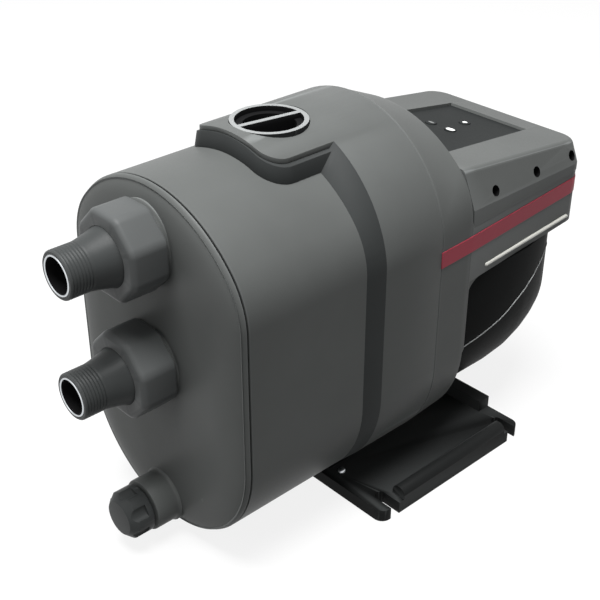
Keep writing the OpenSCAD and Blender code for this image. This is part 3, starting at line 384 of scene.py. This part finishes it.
shroud = bmesh.new()
rings = [section(shroud, seam_y + seam_gap, sleeve_shape, 0.004),
         section(shroud, seam_y + seam_gap, sleeve_shape, 0.0008),
         section(shroud, seam_y + 0.0010, sleeve_shape)]
for share in (0.1, 0.25, 0.4, 0.55, 0.7, 0.85, 0.95):
    shape = between(sleeve_shape, arch_shape, share)
    rings.append(section(shroud, seam_y + (arch_y - seam_y) * share, shape))
for fall, inset in rim_rows:
    rings.append(section(shroud, arch_y - fall, arch_shape, inset))
loft(shroud, rings)
for vert in shroud.verts:
    on_rim = vert.co.y > arch_y - rim_r and abs(vert.co.x) > half_w - 0.002
    if on_rim and low_z < vert.co.z < high_z + 0.004:
        vert.co.x = copysign(arch_shape[0], vert.co.x)
shroud_piece = make_piece(shroud, "rear_shroud_shell", "casing", (casing_grey,),
                          ["rear_shroud"])
close_shell(shroud_piece, shroud_wall)

# Motor cover: a deep black polypropylene dome that snaps on behind the shroud.
# A fine lip runs back along each side and round the rear, where the lower moulding laps the upper, and its
# pale grey is a painted highlight.
# Polypropylene is waxy and dull.
cover_black = grained("moulded_polypropylene_black", "#0f1010", 0.45, 1.6, 0.05, "#303131", 0.3, 0.02)
# The lip's pale grey is a painted highlight on the dark cover.
lip_highlight_grey = grained("painted_highlight_polypropylene_lip", "#9a9c9c", 0.3, 1.6, 0.02)
rounded_copy("motor_cover", "motor_cover_dome", "casing", cover_black,
             edge_angle=60, edge_r=0.0005, angle=40)

# The cover's radius falls towards its rear end by (distance from the end, fall) pairs.
# The lip follows (y, z) places on the cover's side, with a section of (reach, rise) corners.
cover_r, cover_z, cover_end = 0.089, 0.114, 0.145
cover_fall = ((0.150, 0), (0.070, 0), (0.050, 0.0015), (0.033, 0.005), (0.020, 0.009), (0.010, 0.013),
              (0.004, 0.019), (0, 0.029))
lip_line = ((0.019, 0.1000), (0.027, 0.1010), (0.036, 0.1019), (0.044, 0.1031), (0.054, 0.1053),
            (0.064, 0.1081), (0.073, 0.1121), (0.082, 0.1165), (0.095, 0.1226), (0.109, 0.1290),
            (0.118, 0.1335), (0.125, 0.1375), (0.131, 0.1412), (0.135, 0.1442), (0.139, 0.1472),
            (0.141, 0.1488), (0.143, 0.1498), (0.145, 0.1500))
lip_section = ((0, 0), (0.0004, 0.0001), (0.0005, 0.0009), (-0.0003, 0.0012))


def on_cover(y, z):
    """The point of the cover's right side at y and z."""
    back = cover_end - y
    for (far, more), (near, less) in zip(cover_fall, cover_fall[1:]):
        if near <= back <= far:
            radius = cover_r - more - (less - more) * (far - back) / (far - near)
    return Vector((sqrt(radius ** 2 - min(0, z - cover_z) ** 2), y, z))


lip_path = [on_cover(*place) for place in lip_line] + [Vector((0, cover_end, lip_line[-1][1]))]
lip = bmesh.new()
rows = []
for reach, rise in lip_section:
    places = []
    for before, place, after in zip(lip_path[:1] + lip_path, lip_path, lip_path[1:] + lip_path[-1:]):
        along = after - before
        places.append(place + Vector((along.y, -along.x, 0)).normalized() * reach + Vector((0, 0, rise)))
    rows.append(polyline(lip, places)[1])
loft(lip, rows + rows[:1])
bmesh.ops.mirror(lip, geom=lip.verts[:] + lip.edges[:] + lip.faces[:], merge_dist=weld, axis="X")
bmesh.ops.holes_fill(lip, edges=lip.edges, sides=len(lip_section))
bmesh.ops.recalc_face_normals(lip, faces=lip.faces)
make_piece(lip, "motor_cover_lip", "casing", (lip_highlight_grey,))

# Control box tray: the lower half of the box, moulded in the casing's composite.
# It is screwed to the shroud's rear wall, with a corner web at each side and a bead along each flank.
# The bead's pale colour is a painted highlight.
flank_front, flank_rear, box_end, tray_edge_r = arch_shape[0], 0.0815, 0.164, 0.0010
bead_start, bead_end, bead_z, bead_r, bead_tip_r = 0.0365, 0.148, 0.1686, 0.0014, 0.0010


def free_edges(bm, angle):
    """The sharp edges of a half of the box, apart from those that meet the shroud."""
    return [e for e in sharp_edges(bm, angle) if max(v.co.y for v in e.verts) > arch_y + 5 * hair]


def flank_x(y):
    """Half width of the box at y."""
    return flank_front + (flank_rear - flank_front) * (y - arch_y) / (box_end - arch_y)


tray = cad_copy("box_tray")
soften(tray, free_edges(tray, 50), tray_edge_r, 3)
make_piece(tray, "box_tray_moulding", "casing", (casing_grey,), ["box_tray"], crisp=True)

bead_front = Vector((flank_x(bead_start), bead_start, bead_z))
bead_rear = Vector((flank_x(bead_end), bead_end, bead_z))
bead_run = bead_rear - bead_front
bead = bmesh.new()
bmesh.ops.create_cone(bead, cap_ends=True, segments=16, radius1=bead_r, radius2=bead_r, depth=bead_run.length)
soften(bead, [e for e in bead.edges if abs(e.verts[0].co.z - e.verts[1].co.z) < weld], bead_tip_r, 3)
turn = bead_run.to_track_quat("Z", "Y").to_matrix().to_4x4()
bmesh.ops.transform(bead, matrix=Matrix.Translation((bead_front + bead_rear) / 2) @ turn, verts=bead.verts)
bmesh.ops.mirror(bead, geom=bead.verts[:] + bead.edges[:] + bead.faces[:], merge_dist=weld, axis="X")
bmesh.ops.recalc_face_normals(bead, faces=bead.faces)
# Pale colour painted on the bead: a painted highlight.
bead_highlight_pale = grained("painted_highlight_composite_bead", "#cfcfc8", 0.3, 1.2, 0.01, "#e8e8e4")
make_piece(bead, "tray_flank_beads", "casing", (bead_highlight_pale,))

# Control box lid: the sloping upper half, with a flat chamfer along each side and a well for the panel.
# Six screws hold it down from above, and the insides of their round recesses in the chamfers are painted
# black as painted shade.
split_z, lid_front_z, lid_rear_z = 0.206, 0.2465, 0.228
slope = atan((lid_front_z - lid_rear_z) / (box_end - arch_y))
lid_frame = Matrix.Translation((0, arch_y, lid_front_z)) @ Matrix.Rotation(-slope, 4, "X")
lid_up = lid_frame.to_3x3() @ Vector((0, 0, 1))
lid_l = (box_end - arch_y) / cos(slope)
shoulder_front, shoulder_rear, shoulder_inset = 0.219, 0.212, 0.001
lid_front_w, lid_rear_w = 0.079, 0.0745
lid_corner_r, lid_rim_r, lid_edge_r = 0.014, 0.0030, 0.0008
panel_start, panel_end, panel_front_w, panel_rear_w = 0.014, lid_l - 0.022, 0.046, 0.039
well_draft, well_depth = 0.0003, 0.005

lid = bmesh.new()
front_profile = ((flank_front, split_z), (flank_front - shoulder_inset, shoulder_front),
                 (lid_front_w, lid_front_z))
rear_profile = ((flank_rear, split_z), (flank_rear, shoulder_rear), (lid_rear_w, lid_rear_z))
for y, profile in ((arch_y, front_profile), (box_end, rear_profile)):
    for x, z in profile:
        for side in (-1, 1):
            bmesh.ops.create_vert(lid, co=(side * x, y, z))
bmesh.ops.convex_hull(lid, input=lid.verts)
bmesh.ops.dissolve_limit(lid, angle_limit=radians(1.5), verts=lid.verts, edges=lid.edges)
upright = [e for e in lid.edges if min(v.co.y for v in e.verts) > box_end - hair
           and e.verts[0].co.x * e.verts[1].co.x > 0]
soften(lid, upright, lid_corner_r, 7)
side_lean = Vector((panel_end - panel_start, panel_front_w - panel_rear_w, 0))
for place, facing in (((0, panel_start, 0), (0, 1, 0)), ((0, panel_end, 0), (0, 1, 0)),
                      ((panel_front_w, panel_start, 0), side_lean),
                      ((-panel_front_w, panel_start, 0), side_lean * Vector((-1, 1, 0)))):
    top = [f for f in lid.faces if f.normal.dot(lid_up) > 0.999]
    around = list({e for f in top for e in f.edges}) + list({v for f in top for v in f.verts})
    bmesh.ops.bisect_plane(lid, geom=top + around, plane_co=lid_frame @ Vector(place),
                           plane_no=lid_frame.to_3x3() @ Vector(facing))
well_middle = lid_frame @ Vector((0, (panel_start + panel_end) / 2, 0))
well = [f for f in lid.faces if f.normal.dot(lid_up) > 0.999
        and (f.calc_center_median() - well_middle).length < 0.01]
bmesh.ops.inset_region(lid, faces=well, thickness=well_draft, depth=-well_depth, use_even_offset=True)
rim = [e for e in sharp_edges(lid, 30) if min(v.co.z for v in e.verts) > lid_rear_z - 0.001
       and max(v.co.y for v in e.verts) > arch_y + 0.001
       and max(abs(v.co.x) for v in e.verts) > panel_front_w + 0.004]
soften(lid, rim, lid_rim_r, 4)
soften(lid, free_edges(lid, 14), lid_edge_r, 2)
bmesh.ops.recalc_face_normals(lid, faces=lid.faces)

recess_r, recess_l, recess_rise, recess_places = 0.0042, 0.014, 0.0065, (0.047, 0.100, 0.149)
chamfer_fall = (lid_front_z - shoulder_front) / (flank_front - shoulder_inset - lid_front_w)
drills = bmesh.new()
for side in (-1, 1):
    chamfer_up = Vector((side * chamfer_fall, 0, 1)).normalized()
    turn = chamfer_up.to_track_quat("Z", "Y").to_matrix().to_4x4()
    for y in recess_places:
        share = (y - arch_y) / (box_end - arch_y)
        shoulder_x = flank_front - shoulder_inset + (flank_rear - flank_front + shoulder_inset) * share
        recess = Vector((side * (shoulder_x - recess_rise / chamfer_fall), y,
                         shoulder_front + (shoulder_rear - shoulder_front) * share + recess_rise))
        bmesh.ops.create_cone(drills, cap_ends=True, segments=32, radius1=recess_r, radius2=recess_r,
                              depth=recess_l, matrix=Matrix.Translation(recess) @ turn)
# The recess walls take the dead black, a painted shade.
for face in drills.faces:
    face.material_index = 1


def bored(bm, cutter):
    """The first bmesh with the second cut out of it."""
    holders = []
    for part in (bm, cutter):
        mesh = bpy.data.meshes.new("bored")
        part.to_mesh(mesh)
        part.free()
        for material in (casing_grey, shadow_black):
            mesh.materials.append(material)
        holders.append(bpy.data.objects.new("bored", mesh))
        scene.collection.objects.link(holders[-1])
    cut = holders[0].modifiers.new("cut", "BOOLEAN")
    cut.object, cut.solver = holders[1], "EXACT"
    made = holders[0].evaluated_get(bpy.context.evaluated_depsgraph_get()).to_mesh()
    result = bmesh.new()
    result.from_mesh(made)
    for holder in holders:
        bpy.data.objects.remove(holder)
    return result


make_piece(bored(lid, drills), "box_lid_moulding", "casing", (casing_grey, shadow_black),
           ["box_lid"], angle=30, crisp=True)

# Lid screws: blackened steel pan heads with a hex socket, down in their recesses.
# The oxide leaves a dull black with a soft metal shine on the rims.
black_steel = grained("blackened_steel", "#0c0c0d", 0.4, 0.8, 0.02, "#3a3a3c")
rounded_copy("lid_screws", "lid_screw_set", "casing", black_steel, edge_angle=50, edge_r=0.0003)

# Accent stripes: crimson trim strips pressed into a groove along each flank.
# Each one starts square at the seam and runs back round the rear corner of the tray.
# Moulded in colour, they have an even, satin tone.
crimson = grained("moulded_trim_crimson", "#9c3444", 0.4, 1.5, 0.03, "#b4505e", 0.3)
rounded_copy("accent_stripes", "flank_stripes", "casing", crimson,
             edge_angle=40, edge_r=0.0003, crisp=True)

# Control panel: a dark polycarbonate overlay glued into a shallow well in the lid.
# Its fine texture kills most of the gloss.
panel_film = grained("textured_polycarbonate_film", "#1f2121", 0.5, 0.9, 0.03, "#3a3c3c", 0.2, 0.04)
rounded_copy("control_panel", "panel_overlay", "casing", panel_film,
             edge_angle=50, edge_r=0.0004, crisp=True)

# Panel buttons: elastomer keys on plungers that rise through the overlay.
# Each key is the overlay's colour and carries a pale printed mark, a dot, a bar or an oval.
# Elastomer is soft and matt, and the ink on it is a thin even coat.
key_grey = grained("soft_touch_elastomer_grey", "#262828", 0.6, 0.8, 0.03, "#3a3c3c", 0.2, 0.04)
mark_white = grained("screen_printed_ink_white", "#d4d6d4", 0.5, 0.6, 0.005, "#ffffff", 0.1)
mark_grey = grained("screen_printed_ink_grey", "#7d7f7e", 0.5, 0.6, 0.005)
mark_depth, ink_coat = 0.00138, 0.0002
for name, place, size, ink in (("power_button", (0, 0.096), (0.0021, 0.0021), mark_white),
                               ("pressure_button", (-0.013, 0.070), (0.0030, 0.0010), mark_grey),
                               ("reset_button", (0.007, 0.070), (0.0040, 0.0028), mark_white)):
    rounded_copy(name, name + "_key", name, key_grey,
                 edge_angle=50, edge_r=0.0005, segments=3)
    mark = bmesh.new()
    bmesh.ops.create_cone(mark, cap_ends=True, segments=32, radius1=1, radius2=1, depth=1)
    flat = Matrix.Diagonal((*size, ink_coat, 1))
    bmesh.ops.transform(mark, matrix=lid_frame @ Matrix.Translation((*place, -mark_depth)) @ flat,
                        verts=mark.verts)
    make_piece(mark, name + "_mark", name, (ink,))

# Cable gland: a black nylon gland screwed into the rear wall of the tray.
# Its hexagon tightens the clamping cone round the supply cable.
rounded_copy("cable_gland", "cable_gland_body", "casing", black_nylon,
             edge_angle=40, edge_r=0.0006)

# Port stubs: glass-filled nylon tail pieces that taper to a pipe thread, their bores painted black as painted
# shade.
# Each is held against the spigot by its union nut, and a bright steel ring stiffens its mouth.
# Glass-filled nylon: a close grain with a dull sheen. The stubs are a shade darker than the nuts.
stub_nylon = grained("glass_filled_nylon_charcoal", "#383a3a", 0.42, 1.2, 0.05, "#747676", 0.25)
stub_profile = ([(12.5, 20), (25.5, 20), (25.5, 24), (20.5, 24), (20.5, 30.2), (20.2, 31), (19.2, 34.5),
                 (18.1, 39), (17.2, 43.5), (16.6, 47)]
                + thread_rings(crest=16.55, root=16.1, start=47.6, pitch=2.31, turns=7)
                + [(16.4, 64.2), (15.6, 65), (12.5, 65), (12.5, 20)])
mouth_profile = [(12.4, 58), (12.4, 65), (12.7, 65.4), (13.4, 65.4), (13.7, 65), (13.7, 63), (13, 58),
                 (12.4, 58)]
stub_bore, ring_bore = 0.0128, 0.0125


def paint_bore_shade(bm, z, reach):
    """Gives the second material, a painted shade, to every face within reach of the axis of the port at z."""
    for face in bm.faces:
        middle = face.calc_center_median()
        if hypot(middle.x, middle.z - z) < reach:
            face.material_index = 1


for port, z in port_heights.items():
    stub = bmesh.new()
    turned(stub, stub_profile, (0, front_y, z), outwards)
    paint_bore_shade(stub, z, stub_bore)
    make_piece(stub, port + "_stub_moulding", "casing", (stub_nylon, shadow_black),
               [port + "_stub"])
    mouth = bmesh.new()
    turned(mouth, mouth_profile, (0, front_y, z), outwards)
    paint_bore_shade(mouth, z, ring_bore)
    make_piece(mouth, port + "_mouth_ring", "casing", (zinc, shadow_black))

# Union nuts: eight-sided nylon nuts that draw the stubs onto the spigots.
# Their corners are rounded off for the hand, and the bore steps in to a shoulder behind the stub's flange.
fitting_nylon = grained("glass_filled_nylon_grey", "#505252", 0.42, 1.2, 0.05, "#868888", 0.3)
nut_flat, nut_start, nut_end = 0.030, 0.002, 0.030
nut_corner_r, nut_front_r, nut_rear_r = 0.0038, 0.0042, 0.0024
nut_r = nut_flat / cos(pi / 8)
nut_bore = [(20.8, 30), (20.8, 26), (26.8, 26), (26.8, 2)]
nut_middle = Matrix.Translation((0, 0, (nut_start + nut_end) / 2)) @ Matrix.Rotation(pi / 8, 4, "Z")
for port, z in port_heights.items():
    nut = bmesh.new()
    bmesh.ops.create_cone(nut, cap_ends=True, segments=8, radius1=nut_r, radius2=nut_r,
                          depth=nut_end - nut_start, matrix=nut_middle)
    soften(nut, [e for e in nut.edges if abs(e.verts[0].co.z - e.verts[1].co.z) > 0.01], nut_corner_r, 5)
    soften(nut, [e for e in nut.edges if min(v.co.z for v in e.verts) > nut_end - hair], nut_front_r, 5)
    soften(nut, [e for e in nut.edges if max(v.co.z for v in e.verts) < nut_start + hair], nut_rear_r, 4)
    bmesh.ops.delete(nut, geom=[f for f in nut.faces if abs(f.normal.z) > 0.99], context="FACES_ONLY")
    turned(nut, nut_bore, (0, 0, 0), (0, 0, 1), 64)
    for height in (nut_start, nut_end):
        rim = [e for e in nut.edges if len(e.link_faces) == 1 and abs(e.verts[0].co.z - height) < hair]
        bmesh.ops.triangle_fill(nut, edges=rim, use_beauty=True)
    bmesh.ops.recalc_face_normals(nut, faces=nut.faces)
    bmesh.ops.transform(nut, matrix=port_frame(z), verts=nut.verts)
    make_piece(nut, port + "_nut_moulding", port + "_nut", (fitting_nylon,),
               [port + "_union_nut"], angle=28)

# Filler cap: a black nylon screw cap with a grip rib between two half-moon pockets.
# The tops of its rim and rib are painted pale as a painted highlight, and the deep pockets are painted black
# as painted shade.
cap_top, cap_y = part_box("filler_cap")[1].z, -0.094
cap_edge_r, highlight_depth, pocket_r, pocket_depth = 0.0009, 0.0006, 0.0236, 0.013
cap_highlight_pale = grained("glass_filled_nylon_painted_highlight", "#868888", 0.4, 1.2, 0.02, "#a4a6a6", 0.3, 0.05)
cap = cad_copy("filler_cap")
soften(cap, [e for e in sharp_edges(cap, 50) if min(v.co.z for v in e.verts) > cap_top - hair], cap_edge_r, 3)
# Upward faces at the top take the painted highlight, and the pocket walls the painted shade.
for face in cap.faces:
    middle = face.calc_center_median()
    reach = hypot(middle.x, middle.y - cap_y)
    if middle.z > cap_top - highlight_depth and face.normal.z > 0.5:
        face.material_index = 1
    elif reach < pocket_r and cap_top - pocket_depth < middle.z < cap_top - cap_edge_r:
        face.material_index = 2
make_piece(cap, "filler_cap_moulding", "filler_cap", (black_nylon, cap_highlight_pale, shadow_black),
           ["filler_cap"])

# Drain plug: a fluted nylon knob screwed into the low boss against an O-ring.
# All its edges are softened for the fingers.
rounded_copy("drain_plug", "drain_plug_moulding", "drain_plug", stub_nylon,
             edge_angle=30, edge_r=0.0012, segments=3)

# Valve springs: stainless wire coils that press each check valve's poppet onto its seat.
# The real coil shortens towards its fixed end as the poppet lifts, but here each stays at one length.
# Drawn stainless wire is bright, with a faint lengthwise grain.
spring_wire = grained("drawn_stainless_wire", "#b9bcbd", 0.3, 0.6, 0.01, metal=1.0)
for port, fixed_y in (("suction", -0.169), ("discharge", -0.191)):
    node = port + "_valve_spring"
    coil = make_piece(cad_copy(node), port + "_spring_coil", "casing", (spring_wire,), [node],
                      angle=60)
    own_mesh(coil)

# Hidden pieces: the hydraulics, motor and electronics inside the casings keep their CAD solids.
# Each takes the finish of what it is made of, from turned steel to varnished copper.
inner_finishes = {
    "steel": grained("turned_steel", "#b4b7b9", 0.35, 0.6, 0.01, metal=1.0),
    "seal_rubber": grained("moulded_nitrile_rubber", "#151515", 0.7, 0.7, 0.03),
    "inner_plastic": grained("moulded_acetal_natural", "#cfcbc0", 0.4, 0.9, 0.02),
    "seal_ceramic": grained("lapped_alumina", "#d8d5cc", 0.2, 0.5, 0.01),
    "motor_aluminium": grained("die_cast_aluminium", "#a9adaf", 0.45, 0.8, 0.03, metal=1.0),
    "winding_copper": grained("varnished_copper_wire", "#a05a2c", 0.3, 0.8, 0.05, metal=1.0),
    "circuit_green": grained("solder_mask_green", "#1f5a3a", 0.35, 0.8, 0.02),
}
for part in frame["record"]["subparts"]:
    if part["material_slot"] in inner_finishes:
        solid = frame["nodes"][part["node"]]
        solid.data.materials.clear()
        solid.data.materials.append(inner_finishes[part["material_slot"]])

# Studio: a pale paper floor and a white surround, a large soft key overhead and two weak side lights.
# The floor is white to the eye and in reflections, and it throws back little light from below.
floor_half, floor_gap, floor_glow = 6.0, 0.0002, 0.85
sky_dim, sky_seen = 0.18, 1.0
light_aim = Vector((0, -0.05, 0.15))


def white_to_eye(tree):
    """A value that is 1 for what the camera sees, directly, in gloss or through glass."""
    path = add_node(tree, "ShaderNodeLightPath")
    seen = add_node(tree, "ShaderNodeMath", {"operation": "MAXIMUM"})
    tree.links.new(path.outputs["Is Camera Ray"], seen.inputs[0])
    tree.links.new(path.outputs["Is Glossy Ray"], seen.inputs[1])
    both = add_node(tree, "ShaderNodeMath", {"operation": "MAXIMUM"})
    tree.links.new(seen.outputs[0], both.inputs[0])
    tree.links.new(path.outputs["Is Transmission Ray"], both.inputs[1])
    return both


floor_mesh = bmesh.new()
bmesh.ops.create_grid(floor_mesh, x_segments=1, y_segments=1, size=floor_half,
                      matrix=Matrix.Translation((0, 0, cad_box[0][2] - floor_gap)))
mesh = bpy.data.meshes.new("studio_floor")
floor_mesh.to_mesh(mesh)
floor_mesh.free()
floor = bpy.data.objects.new("studio_floor", mesh)
scene.collection.objects.link(floor)
paper = bpy.data.materials.new("matt_paper_white")
paper.use_nodes = True
tree = paper.node_tree
shader = tree.nodes["Principled BSDF"]
glow = add_node(tree, "ShaderNodeMapRange", {"To Max": floor_glow}, {"Value": (white_to_eye(tree), 0)})
tree.links.new(glow.outputs["Result"], shader.inputs["Emission Strength"])
shader.inputs["Base Color"].default_value = linear("#6a6a6a")
shader.inputs["Emission Color"].default_value = (1.0, 1.0, 1.0, 1.0)
shader.inputs["Roughness"].default_value = 0.9
shader.inputs["Specular IOR Level"].default_value = 0.0
mesh.materials.append(paper)

world = bpy.data.worlds.new("studio_world")
scene.world = world
world.use_nodes = True
tree = world.node_tree
sky = tree.nodes["Background"]
sky.inputs["Color"].default_value = (1.0, 1.0, 1.0, 1.0)
level = add_node(tree, "ShaderNodeMapRange", {"To Min": sky_dim, "To Max": sky_seen},
                 {"Value": (white_to_eye(tree), 0)})
tree.links.new(level.outputs["Result"], sky.inputs["Strength"])


def area_light(name, place, size, power):
    """A square soft light at place, facing the middle of the casings."""
    lamp = bpy.data.lights.new(name, "AREA")
    lamp.size = size
    lamp.energy = power
    holder = bpy.data.objects.new(name, lamp)
    holder.location = place
    holder.rotation_euler = (light_aim - Vector(place)).to_track_quat("-Z", "Y").to_euler()
    scene.collection.objects.link(holder)


area_light("key", (0.1, -0.35, 1.9), size=1.1, power=74)
area_light("front", (1.3, -1.45, 0.8), size=1.2, power=3)
area_light("left", (-0.5, -1.8, 1.0), size=1.2, power=6)

# Camera: it stands where the photograph was taken from and looks along the same axis.
# Its lens gives the photograph's own field of view.
focal_px, frame_px, sensor_mm = 599.3, 316, 36.0
eye = Vector((0.5386, -0.5620, 0.5789))
aim = Vector((0, -0.066, 0.140))
camera = bpy.data.objects.new("photo_camera", bpy.data.cameras.new("photo_camera"))
camera.data.sensor_width = sensor_mm
camera.data.lens = sensor_mm * focal_px / frame_px
camera.data.clip_start = 0.01
camera.location = eye
camera.rotation_euler = (aim - eye).to_track_quat("-Z", "Y").to_euler()
scene.collection.objects.link(camera)
scene.camera = camera
scene.view_settings.view_transform = "Standard"
